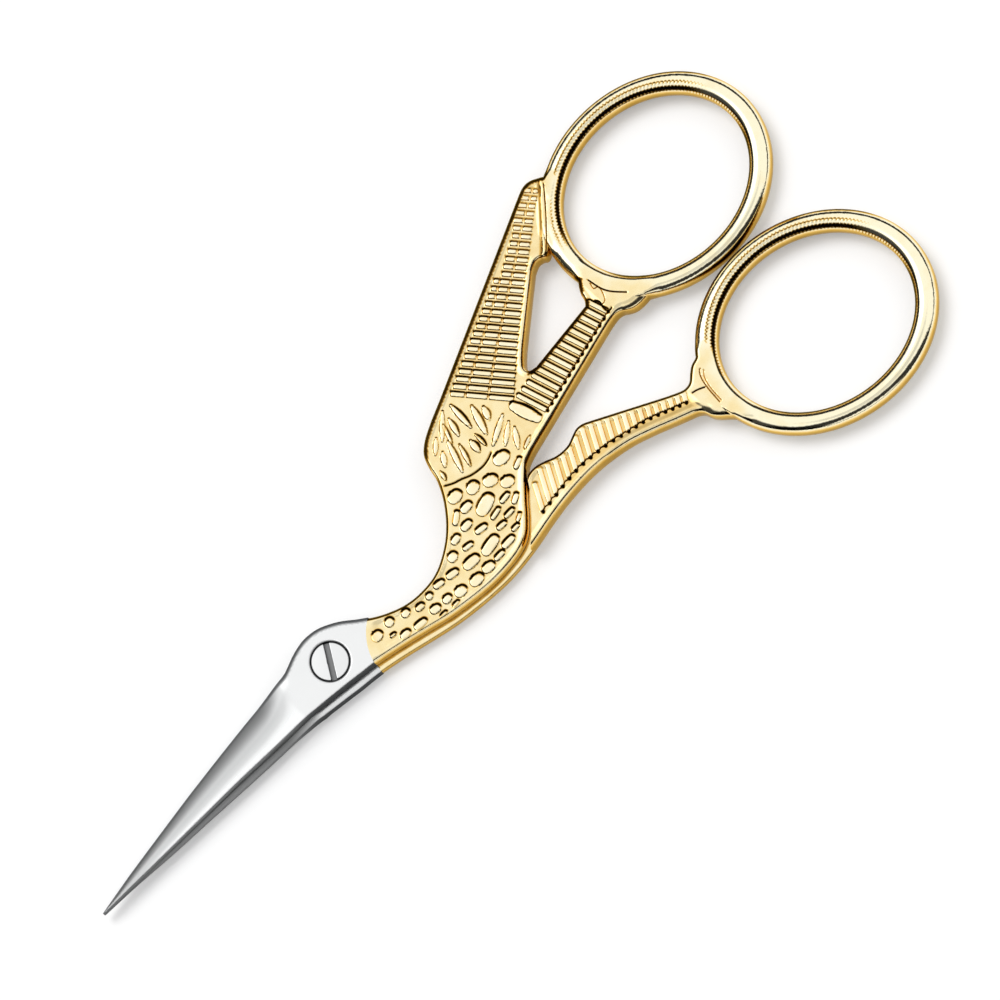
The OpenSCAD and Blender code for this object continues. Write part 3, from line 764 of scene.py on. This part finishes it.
def ground_blade(name, stations, ridge_line, edge_near, spine_near, side):
    """Steel blade and shank of one half.

    side is +1 on the front half, whose cutting edge is towards +Y, and -1 on the back half. edge_near and spine_near
    continue the blade's two sides along the shank.
    """
    front = side > 0
    low = FRONT_Z if front else BACK_Z
    land = bpy.context.scene.scissors_blades.land_share
    xs, edge_ys, spine_ys = np.array(stations).T
    edge = [*zip(xs, edge_ys), *edge_near]
    spine = [*zip(xs, spine_ys), *spine_near]
    loop = divided(np.concatenate([curve(edge, 0.15), curve(spine, 0.15)[::-1]]), 0.15)
    bore = circle(SHANK_D / 2 + RUN_FIT)
    seat_r = HEAD_D / 2 + 2 * RUN_FIT
    seat = circle(seat_r)

    def sides_at(x):
        return np.interp(x, xs, edge_ys), np.interp(x, xs, spine_ys)

    def thickness(x):
        return np.clip(TIP_T + (BACK_Z - TIP_T) * (x + BLADE_LEN) / (PLUNGE_X + BLADE_LEN), TIP_T, BACK_Z)

    def heights(points):
        x, y = points[:, 0], points[:, 1]
        t = thickness(x)
        d = np.maximum(depth_in(loop, points), 0)
        edge_y, spine_y = sides_at(x)
        ridge = np.interp(x, *np.array(ridge_line).T)
        from_edge = np.clip((edge_y - y) * side, 0, None)
        width = np.maximum((edge_y - ridge) * side, 0.03)
        run = smooth(-x, -PLUNGE_X - 1.6, -PLUNGE_X + 3.0)
        bevel = np.clip(1 - from_edge / (width * (0.5 + 0.5 * run)), 0, 1)
        drop = (1 - land) * t * bevel ** 1.5 * run
        near_edge = np.clip((y - spine_y) * side, 0, None) * run + d * (1 - run)
        r = np.minimum(FRONT_SPINE_R if front else BACK_SPINE_R, t / 3)
        outer = t - drop - fallen(near_edge, r)
        up = outward(loop if front else loop[::-1], points) @ LEFT_UP
        facing = smooth(up, 0.0, 0.5)
        # Painted shade and reflection: dark sides, a bevel darker towards the cutting edge, and a dark ring round the
        # screw head
        tone = STEEL_SIDE_TONE * (1 - smooth(d, 0.05 + 0.15 * facing, 0.12 + 0.3 * facing)) * (1 - 0.2 * run)
        tone = np.maximum(tone, BEVEL_TONE * np.clip(1 - from_edge / (1.7 * width), 0, 1) * run)
        if front:
            from_head = np.hypot(x, y) - HEAD_D / 2
            outer -= 0.06 * smooth(1 - np.abs(from_head - 0.06) / 0.16)
            tone = np.maximum(tone, 1 - smooth(from_head, 0.08, 0.18))
        along_spine = smooth(-up, 0.3, 0.7) * (not front)
        hollow = HOLLOW_D * smooth(d, 0.15 + 0.4 * along_spine, 0.8 + 0.4 * along_spine) * smooth(-x, 4.5, 6)
        broken = fallen(d, RIDE_EDGE_R) * smooth(x, -12, -5)
        # The back blade's riding face falls away a little along its spine, where it shows beside the front blade
        fall = 0.09 * np.maximum(0.5 - d, 0) * along_spine
        outer, riding = low + side * np.maximum(outer, 0.02), low + side * (hollow + broken + fall)
        sink = np.full(len(points), PAIR_T - HEAD_T - RUN_FIT)
        if front:
            return outer, sink, riding, riding, tone, tone
        return riding, riding, outer, outer, tone, tone

    def kept(points):
        return inside(loop, points) & ~plated(points) & ~inside(bore, points)

    def sunk(points):
        return inside(seat, points)

    turns = np.radians([12, 24, 36, 50, 65, 80])
    points = [rows_beside(loop, 0.3 * (1 - np.cos(turns))), grid_over([loop], 0.2)]
    points += [circle(seat_r + g) for g in (0.04, 0.08, 0.12, 0.16, 0.22)] if front else []
    share = np.linspace(0.02, 0.98, 24)
    for x in np.arange(-BLADE_LEN + 0.2, PLUNGE_X + 3, 0.25):
        edge_y, spine_y = sides_at(x)
        points.append(np.stack([np.full(len(share), x), edge_y + (spine_y - edge_y) * share], 1))
    points = np.concatenate(points)
    points = thinned(points[inside(loop, points)], 0.04)
    loops = [loop, bore] + ([seat] if front else [])
    stepped = (sunk if front else nowhere, nowhere)
    return build_plate(name, loops, [plating_arc()], points, kept, stepped, heights)


def turned_screw(name):
    """Slotted screw, with the edge of its head and of its slot just broken."""
    r = HEAD_D / 2
    rim, hole = circle(r, 0.08), circle(SHANK_D / 2, 0.08)
    turn = math.radians(SLOT_TURN)
    along, across = np.array([math.cos(turn), math.sin(turn)]), np.array([-math.sin(turn), math.cos(turn)])
    run = np.linspace(-r - 0.5, r + 0.5, 60)
    slot_sides = [np.stack([along * t + across * s * SLOT_W / 2 for t in run]) for s in (1, -1)]

    def kept(points):
        return inside(rim, points)

    def in_slot(points):
        return np.abs(points @ across) < SLOT_W / 2

    def on_shank(points):
        return inside(hole, points)

    def heights(points):
        from_axis = np.linalg.norm(points, axis=1)
        from_rim = np.maximum(r - from_axis, 0)
        from_slot = np.maximum(np.abs(points @ across) - SLOT_W / 2, 0)
        face = PAIR_T - 0.02 * (from_axis / r) ** 2 - fallen(from_rim, SCREW_EDGE_R) - fallen(from_slot, SCREW_EDGE_R)
        flat = np.ones(len(points))
        # Painted shade in the slot and along the rim of the head
        tone = np.maximum(0.72 * (1 - smooth(from_slot, 0.0, 0.03)), 1 - smooth(from_rim, 0.04, 0.12))
        return face, flat * (PAIR_T - SLOT_D), flat * (PAIR_T - HEAD_T), flat * 0, tone, tone

    points = [circle(r - g, 0.08) for g in (0.01, 0.03, 0.05, 0.07, 0.12)]
    for g in (0.01, 0.03, 0.05, 0.07, 0.1):
        for s in (1, -1):
            side = across * s * (SLOT_W / 2 + g)
            points.append(np.stack([side + along * t for t in np.linspace(-r, r, 45)]))
    points.append(grid_over([rim], 0.15))
    points = np.concatenate(points)
    points = thinned(points[inside(rim, points)], 0.012)
    return build_plate(name, [rim, hole], slot_sides, points, kept, (in_slot, on_shank), heights)


def linear(hex_colour):
    """sRGB hex to linear colour."""
    srgb = [int(hex_colour[i:i + 2], 16) / 255 for i in (1, 3, 5)]
    return tuple(c / 12.92 if c <= 0.04045 else ((c + 0.055) / 1.055) ** 2.4 for c in srgb)


def add_node(tree, kind, links=None, **settings):
    """Adds a node, sets its properties and inputs, and links its inputs. A node stands for its first output."""
    node = tree.nodes.new("ShaderNode" + kind)
    for key, value in settings.items():
        if key.startswith("in_"):
            socket = key[3:].replace("_", " ")
            node.inputs[int(socket) if socket.isdigit() else socket].default_value = value
        else:
            setattr(node, key, value)
    for socket, source in (links or {}).items():
        tree.links.new(getattr(source, "outputs", [source])[0], node.inputs[socket])
    return node


def per_mm(mm):
    """Scale of a pattern in object coordinates whose features are this many millimetres apart."""
    return 1 / (mm * MM)


def new_material(name):
    """New material and its empty node tree."""
    material = bpy.data.materials.new(name)
    material.use_nodes = True
    material.node_tree.nodes.clear()
    return material, material.node_tree


def gold_plate():
    """Thin bright gold plating over polished steel: mirror gloss with a faint waviness left by hand polishing."""
    look = bpy.context.scene.scissors_finish
    material, tree = new_material("polished_gold_plate")
    place = add_node(tree, "TexCoord").outputs["Object"]
    # Polishing leaves soft waves about 1.6 mm apart
    waves = add_node(tree, "TexNoise", {"Vector": place}, in_Scale=per_mm(1.6), in_Detail=3.0)
    # Plating grain about 0.12 mm apart
    grain = add_node(tree, "TexNoise", {"Vector": place}, in_Scale=per_mm(0.12), in_Detail=2.0)
    rough = add_node(tree, "MapRange", {"Value": waves}, in_3=0.07, in_4=0.16)
    wave_bump = add_node(tree, "Bump", {"Height": waves}, in_Strength=0.35, in_Distance=0.03 * MM)
    bump = add_node(tree, "Bump", {"Height": grain, "Normal": wave_bump}, in_Strength=0.2, in_Distance=0.004 * MM)
    # The plating's tone drifts a little with the polishing waves; the painted tone on the mesh paints highlights,
    # shade and dark reflections
    left = add_node(tree, "Attribute", attribute_name="painted_tone").outputs["Fac"]
    drift = add_node(tree, "MapRange", {"Value": waves}, in_1=0.35, in_2=0.65, in_3=0.03, in_4=-0.03)
    level = add_node(tree, "Math", {0: left, 1: drift}, operation="ADD")
    colour = add_node(tree, "ValToRGB", {"Fac": level})
    ramp = colour.color_ramp.elements
    tones = ((0.0, look.gold_highlight_hex), (0.1, look.gold_hex), (0.22, look.gold_deep_hex),
             (0.42, look.gold_shade_hex), (0.62, look.gold_dark_shade_hex), (0.84, look.painted_black_hex))
    for at, hex_colour in tones:
        stop = ramp[0] if at == 0 else ramp.new(at)
        stop.color = (*linear(hex_colour), 1)
    ramp.remove(ramp[-1])
    dark = add_node(tree, "MapRange", {"Value": left}, in_1=0.5, in_2=0.85)
    dull = add_node(tree, "Mix", {0: dark, 2: rough}, in_3=0.4)
    metal = add_node(tree, "BsdfPrincipled",
                     {"Base Color": colour, "Roughness": dull, "Normal": bump},
                     in_Metallic=1.0, in_Specular_Tint=(*linear(look.gold_hex), 1))
    add_node(tree, "OutputMaterial", {"Surface": metal})
    return material


def ground_steel(name, hex_colour, roughness, line_mm, depth_mm):
    """Carbon steel, ground across and polished: fine lines in one direction under a bright satin."""
    material, tree = new_material(name)
    place = add_node(tree, "TexCoord").outputs["Object"]
    # Grinding lines run across the blade, so the pattern is stretched twelve times along Y
    stretched = add_node(tree, "Mapping", {"Vector": place}, in_Scale=(1.0, 1 / 12, 1 / 12))
    lines = add_node(tree, "TexNoise", {"Vector": stretched}, in_Scale=per_mm(line_mm), in_Detail=4.0)
    clouds = add_node(tree, "TexNoise", {"Vector": place}, in_Scale=per_mm(3.0), in_Detail=2.0)
    base = add_node(tree, "MapRange", {"Value": clouds}, in_3=roughness * 0.8, in_4=roughness * 1.25)
    bump = add_node(tree, "Bump", {"Height": lines}, in_Strength=0.25, in_Distance=depth_mm * MM)
    # The painted tone darkens the ground bevel, the sides, the screw's slot and rim and a ring round the screw head as
    # painted shade and reflection, and makes them duller than the polished flats
    left = add_node(tree, "Attribute", attribute_name="painted_tone").outputs["Fac"]
    rough = add_node(tree, "MapRange", {"Value": left, 3: base}, in_2=0.12, in_4=0.5)
    colour = add_node(tree, "Mix", {0: left}, data_type="RGBA")
    colour.inputs[6].default_value = (*linear(hex_colour), 1)
    colour.inputs[7].default_value = (*linear(bpy.context.scene.scissors_finish.steel_shade_hex), 1)
    metal = add_node(tree, "BsdfPrincipled",
                     {"Base Color": colour.outputs[2], "Roughness": rough, "Normal": bump},
                     in_Metallic=1.0, in_Specular_Tint=(0.4, 0.4, 0.4, 1))
    add_node(tree, "OutputMaterial", {"Surface": metal})
    return material


def dress(piece, body, node, material):
    """Gives the piece its material, the solid that it replaces and the body that it moves with."""
    piece.data.materials.append(material)
    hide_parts(node)
    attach(piece, body)


class ScissorsReliefSettings(bpy.types.PropertyGroup):
    edge_radius: bpy.props.FloatProperty(
        name="Edge radius", description="Rounding of the handles' edges", default=0.35 * MM,
        min=0.2 * MM, max=0.4 * MM, subtype="DISTANCE", unit="LENGTH")
    strike_depth: bpy.props.FloatProperty(
        name="Strike depth", description="How deep the ground lies below the feathers", default=0.13 * MM,
        min=0.05 * MM, max=0.2 * MM, subtype="DISTANCE", unit="LENGTH")
    knurl_pitch: bpy.props.FloatProperty(
        name="Milling pitch", description="Distance between the milled ridges inside the bows",
        default=0.33 * MM, min=0.25 * MM, max=0.5 * MM, subtype="DISTANCE", unit="LENGTH")


class ScissorsBladeSettings(bpy.types.PropertyGroup):
    land_share: bpy.props.FloatProperty(
        name="Edge land", description="Share of the blade's thickness left upright at the cutting edge",
        default=0.4, min=0.05, max=0.6, subtype="FACTOR")


class ScissorsFinishSettings(bpy.types.PropertyGroup):
    # The palest gold, a painted highlight on the bows and the raised strokes
    gold_highlight_hex: bpy.props.StringProperty(
        name="Gold of the bows", description="Colour of the brightest plating, as sRGB hex", default="#FEF6D6")
    gold_hex: bpy.props.StringProperty(
        name="Gold", description="Colour of the bright plating, as sRGB hex", default="#F9E5B0")
    # Painted shade on the struck ground
    gold_deep_hex: bpy.props.StringProperty(
        name="Deep gold", description="Colour of the plating on the struck ground, as sRGB hex", default="#EBC77C")
    # Painted shade on the sides and edges
    gold_shade_hex: bpy.props.StringProperty(
        name="Gold of the sides", description="Colour of the plating off the polished faces, as sRGB hex",
        default="#C79B49")
    # Painted shade and dark reflection
    gold_dark_shade_hex: bpy.props.StringProperty(
        name="Dark gold", description="Colour of the plating under thin residue, as sRGB hex", default="#6A4716")
    # Painted black reflections and shade along edges, flanks, cuts, pits and milling
    painted_black_hex: bpy.props.StringProperty(
        name="Painted black", description="Colour of the polishing residue in the recesses, as sRGB hex", default="#100802")
    steel_hex: bpy.props.StringProperty(
        name="Steel", description="Colour of the blades' flats, as sRGB hex", default="#E9EAEA")
    # Painted shade and reflection on the blades' sides and bevel, and on the screw's slot and rim
    steel_shade_hex: bpy.props.StringProperty(
        name="Steel of the sides", description="Colour of the blades' unpolished sides, as sRGB hex",
        default="#303234")
    floor_hex: bpy.props.StringProperty(
        name="Floor", description="Colour of the floor, as sRGB hex", default="#F7F7F7")


class SCISSORS_OT_handles(bpy.types.Operator):
    """Builds the two gold plated handles with their struck feathers, collars and finger bows"""

    bl_idname = "scissors.handles"
    bl_label = "Struck Handles"

    def execute(self, context):
        gold = gold_plate()
        pitch = context.scene.scissors_relief.knurl_pitch / MM
        ridges = int(2 * math.pi * (FRONT_BOW[2] + FRONT_BOW[3]) / 2 / pitch)
        feathers = [(*ends, width * 1.25, 0.9, 2.0, 0.6) for *ends, width in FEATHERS]
        front_strokes = seen(scale_strokes() + feathers + wing_strokes() + leg_strokes())
        front_pits = [(x, y / math.cos(TILT), 0.2) for x, y in leg_feet()]
        back_pits = [(x, y / math.cos(TILT), 0.22) for x, y in tail_feet()]

        def front_collar(p):
            leg_end = (p[:, 1] < 9) * smooth(p[:, 0], 38.6, 39.3)
            return 1 - np.maximum(leg_end, smooth(p[:, 0], 42.6, 43.2))

        def back_collar(p):
            return 1 - smooth(p[:, 0], 38.1, 38.7)

        front_cuts = FRONT_CUTS + [(scallops(leg_feet(), 0.12), 0.14, 0.85)]
        back_cuts = BACK_CUTS + [(scallops(tail_feet(), 0.16), 0.18, 1.0)]
        front_soft = (curve(FRONT_COLLAR[9:]), 37.5)
        back_soft = (curve(BACK_COLLAR[15:] + BELLY[:6]), 28)
        front = struck_handle("front_handle_gold", front_outline(), FRONT_BOW, front_strokes, front_pits,
                              front_cuts, front_collar, front_soft, FRONT_STEP, "under", ridges)
        back = struck_handle("back_handle_gold", back_outline(), BACK_BOW, seen(tail_strokes()), back_pits,
                             back_cuts, back_collar, back_soft, TAIL_STEP, "above", ridges)
        dress(front, "front_half", "front_handle", gold)
        dress(back, "back_half", "back_handle", gold)
        return {"FINISHED"}


class SCISSORS_OT_blades(bpy.types.Operator):
    """Builds the two ground steel blades with their shanks"""

    bl_idname = "scissors.blades"
    bl_label = "Steel Blades"

    def execute(self, context):
        steel = ground_steel("ground_carbon_steel", context.scene.scissors_finish.steel_hex, 0.2, 0.09, 0.004)
        front = ground_blade("front_blade_steel", FRONT_BLADE, FRONT_RIDGE, NAPE[:5], BREAST[:-5:-1], 1)
        back = ground_blade("back_blade_steel", BACK_BLADE, BACK_RIDGE, BELLY[:-5:-1], BACK_NAPE[:5], -1)
        dress(front, "front_half", "front_blade", steel)
        dress(back, "back_half", "back_blade", steel)
        return {"FINISHED"}


class SCISSORS_OT_screw(bpy.types.Operator):
    """Builds the slotted pivot screw"""

    bl_idname = "scissors.screw"
    bl_label = "Pivot Screw"

    def execute(self, context):
        steel = ground_steel("turned_screw_steel", context.scene.scissors_finish.steel_hex, 0.16, 0.06, 0.003)
        dress(turned_screw("pivot_screw_steel"), "back_half", "pivot_screw", steel)
        return {"FINISHED"}


class SCISSORS_OT_stage(bpy.types.Operator):
    """Lays a pale floor, hangs a soft studio light and sets the camera"""

    bl_idname = "scissors.stage"
    bl_label = "Floor, Light and Camera"

    def execute(self, context):
        scene = context.scene
        scene.view_settings.view_transform = "Standard"
        self.floor(scene)
        self.studio(scene)
        self.key_light(scene)
        self.camera(scene)
        return {"FINISHED"}

    def floor(self, scene):
        half = 0.6
        corners = [(-half, -half, 0), (half, -half, 0), (half, half, 0), (-half, half, 0)]
        mesh = bpy.data.meshes.new("pale_floor")
        mesh.from_pydata(corners, [], [(0, 1, 2, 3)])
        floor = bpy.data.objects.new("pale_floor", mesh)
        scene.collection.objects.link(floor)
        material, tree = new_material("pale_paper")
        paper = add_node(tree, "BsdfDiffuse", in_Color=(*linear(scene.scissors_finish.floor_hex), 1))
        # The backdrop is lit from below too, which softens the shadow to the camera and in the metal
        rays = add_node(tree, "LightPath")
        direct = add_node(tree, "Math", {0: rays.outputs["Is Camera Ray"], 1: rays.outputs["Is Glossy Ray"]},
                          operation="MAXIMUM")
        direct = add_node(tree, "Math", {0: direct, 1: rays.outputs["Is Transmission Ray"]}, operation="MAXIMUM")
        share = add_node(tree, "Math", {0: direct}, operation="MULTIPLY", in_1=0.25)
        glow = add_node(tree, "Emission", in_Color=(1, 1, 1, 1), in_Strength=0.99)
        both = add_node(tree, "MixShader", {0: share, 1: paper, 2: glow})
        add_node(tree, "OutputMaterial", {"Surface": both})
        mesh.materials.append(material)

    def studio(self, scene):
        """A bright tent with dark gaps: above the floor, towards -X, in a band towards -Y and round the lens."""
        world = bpy.data.worlds.new("studio_tent")
        scene.world = world
        world.use_nodes = True
        tree = world.node_tree
        tree.nodes.clear()
        way = add_node(tree, "TexCoord").outputs["Generated"]

        def towards(direction):
            node = add_node(tree, "VectorMath", {0: way}, operation="DOT_PRODUCT")
            node.inputs[1].default_value = direction
            return node.outputs["Value"]

        def fade(value, start, end, low, high):
            node = add_node(tree, "MapRange", {"Value": value}, interpolation_type="SMOOTHSTEP",
                            in_1=start, in_2=end, in_3=low, in_4=high)
            return node

        def combine(operation, first, second):
            return add_node(tree, "Math", {0: first, 1: second}, operation=operation)

        south = (-0.3, -0.954, 0.0)
        tent = fade(towards((-0.06, -0.2, 0.98)), 0.24, 0.34, 0.02, 1.03)
        west = fade(towards((-1, 0, 0)), 0.55, 0.7, 1.0, 0.05)
        band = combine("MAXIMUM", fade(towards(south), 0.5, 0.6, 1.0, 0.03),
                       fade(towards(south), 0.9, 0.95, 0.0, 1.0))
        lens = fade(towards(LENS_WAY), math.cos(math.radians(18)), math.cos(math.radians(12)), 1.0, 0.7)
        window = fade(towards((-0.4, 0.5, 0.768)), 0.88, 0.97, 1.0, 1.9)
        tent = combine("MULTIPLY", tent, window)
        light = combine("MULTIPLY", combine("MULTIPLY", tent, west), combine("MULTIPLY", band, lens))
        back = add_node(tree, "Background", {"Strength": light}, in_Color=(1, 1, 1, 1))
        add_node(tree, "OutputWorld", {"Surface": back})

    def key_light(self, scene):
        """One far softbox from the +Y side, which throws the short shadow; the metal mirrors only the tent."""
        lamp = bpy.data.lights.new("softbox", "SUN")
        lamp.angle = math.radians(28)
        lamp.energy = 1.38
        place = bpy.data.objects.new("softbox", lamp)
        scene.collection.objects.link(place)
        place.visible_glossy = False
        place.rotation_euler = Vector((0.0, 0.3, 0.7)).to_track_quat("Z", "Y").to_euler()

    def camera(self, scene):
        """Long lens, leaned and turned as the object lies in the picture."""
        frame_mm, distance = 87.5, 1.0
        lens = bpy.data.cameras.new("long_lens")
        lens.sensor_width = 36
        lens.lens = 36 * distance / (frame_mm * MM)
        lens.clip_end = 10
        camera = bpy.data.objects.new("long_lens", lens)
        scene.collection.objects.link(camera)
        scene.camera = camera
        away = Vector(LENS_WAY)
        across = Vector((0, math.cos(TILT), math.sin(TILT)))
        right = Vector((1, 0, 0)) * math.cos(ROLL) - across * math.sin(ROLL)
        up = Vector((1, 0, 0)) * math.sin(ROLL) + across * math.cos(ROLL)
        aim = Vector((20.48, -1.28, PAIR_T)) * MM
        turn = Matrix((right, up, away)).transposed().to_4x4()
        camera.matrix_world = Matrix.Translation(aim + away * distance) @ turn


class SCISSORS_PT_build(bpy.types.Panel):
    """Lists the pieces of the scissors"""

    bl_idname = "SCISSORS_PT_build"
    bl_label = "Stork Scissors"
    bl_space_type = "VIEW_3D"
    bl_region_type = "UI"
    bl_category = "Scissors"

    def draw(self, context):
        scene = context.scene
        for settings in (scene.scissors_relief, scene.scissors_blades, scene.scissors_finish):
            for key in settings.__annotations__:
                self.layout.prop(settings, key)
        for operator in OPERATORS:
            self.layout.operator(operator.bl_idname)


SETTINGS = {
    "scissors_relief": ScissorsReliefSettings,
    "scissors_blades": ScissorsBladeSettings,
    "scissors_finish": ScissorsFinishSettings,
}
OPERATORS = (SCISSORS_OT_stage, SCISSORS_OT_handles, SCISSORS_OT_blades, SCISSORS_OT_screw)
CLASSES = (*SETTINGS.values(), *OPERATORS, SCISSORS_PT_build)


def register():
    for item in CLASSES:
        bpy.utils.register_class(item)
    for key, settings in SETTINGS.items():
        setattr(bpy.types.Scene, key, bpy.props.PointerProperty(type=settings))


def unregister():
    for key in SETTINGS:
        delattr(bpy.types.Scene, key)
    for item in reversed(CLASSES):
        bpy.utils.unregister_class(item)


def main():
    register()
    bpy.ops.scissors.stage()
    bpy.ops.scissors.handles()
    bpy.ops.scissors.blades()
    bpy.ops.scissors.screw()


if __name__ == "__main__":
    main()
